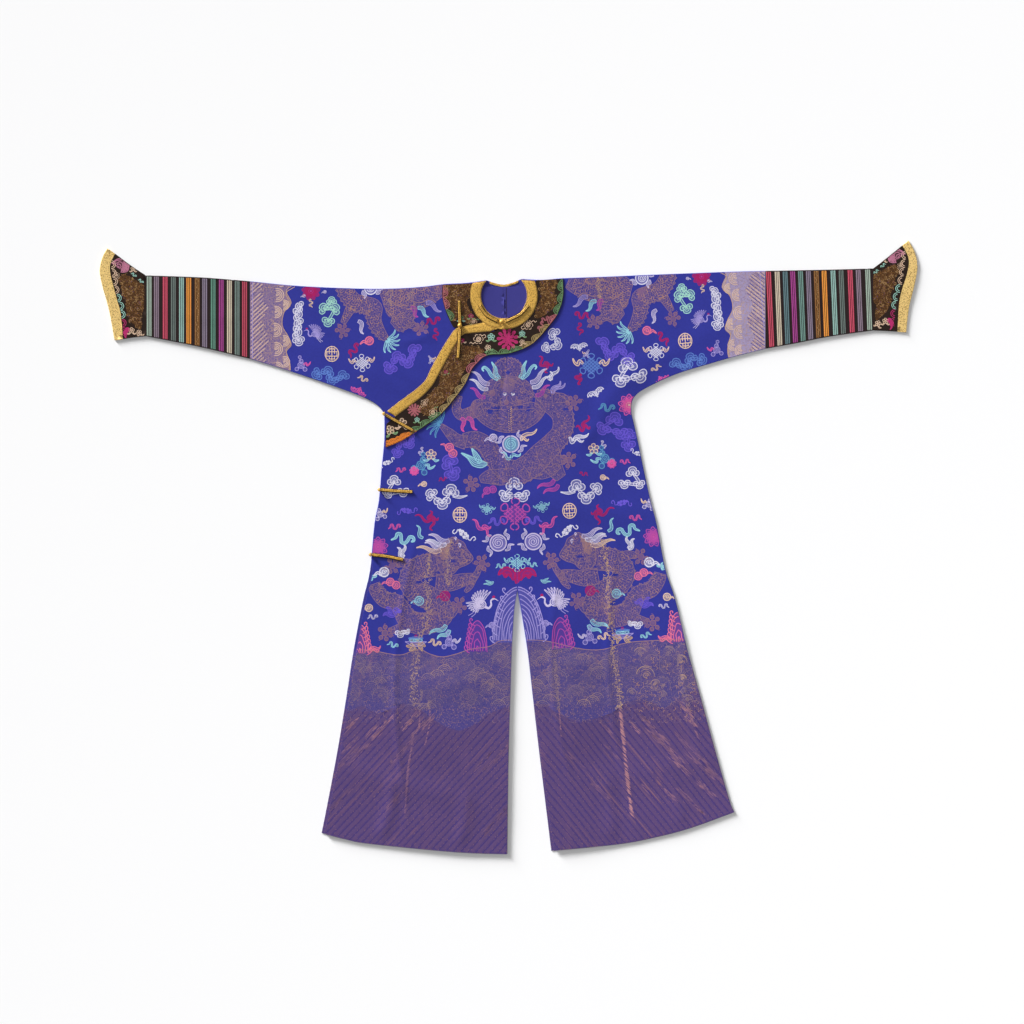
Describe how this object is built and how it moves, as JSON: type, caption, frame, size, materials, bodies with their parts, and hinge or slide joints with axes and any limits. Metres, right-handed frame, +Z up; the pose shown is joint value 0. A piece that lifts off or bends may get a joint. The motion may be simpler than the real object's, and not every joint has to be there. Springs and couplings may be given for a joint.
{
  "type": "chinese dragon robe",
  "caption": "Full-length formal robe laid flat, front up: side-closing overlap, long sleeves with striped bands and horse-hoof cuffs, centre slits.",
  "frame": {"origin": "middle of the bounding box, on the surface the robe lies on", "axes": "+X towards the wearer's left sleeve, +Y towards the neck, +Z up, out of the robe's front"},
  "size_m": [1.9861, 1.49, 0.0178],
  "materials": {
    "silk": "ultramarine silk with gold-thread dragons, clouds and striped hem, soft sheen",
    "lining": "plain violet-blue lining silk, matte",
    "striped_silk": "narrow lengthwise stripes in many colours on dark brown, fine rib",
    "dark_satin": "near-black satin with bronze thread and coloured silk embroidery",
    "gold_cloth": "metallic gold brocade ribbon, speckled",
    "gilt": "gilt metal, softly worn"
  },
  "bodies": {
    "root": {"button_chest": "gilt", "button_neck": "gilt", "collar_facing": "dark_satin", "inner_collar_facing": "dark_satin", "knot_lower_side": "gold_cloth", "knot_underarm": "gold_cloth", "knot_upper_side": "gold_cloth", "left_cuff": "dark_satin", "left_cuff_edging": "gold_cloth", "left_length": "silk", "left_sleeve_band": "striped_silk", "neck_binding_back": "gold_cloth", "neck_binding_inner": "gold_cloth", "neck_binding_outer": "gold_cloth", "neck_lining_left": "lining", "neck_lining_right": "lining", "outer_front": "silk", "overlap_edging_side": "gold_cloth", "overlap_edging_top": "gold_cloth", "right_cuff": "dark_satin", "right_cuff_edging": "gold_cloth", "right_length": "silk", "right_sleeve_band": "striped_silk", "toggle_chest_loop": "gold_cloth", "toggle_chest_tail": "gold_cloth", "toggle_lower_side_loop": "gold_cloth", "toggle_neck_loop": "gold_cloth", "toggle_neck_tail": "gold_cloth", "toggle_underarm_loop": "gold_cloth", "toggle_upper_side_loop": "gold_cloth"}
  },
  "joints": []
}
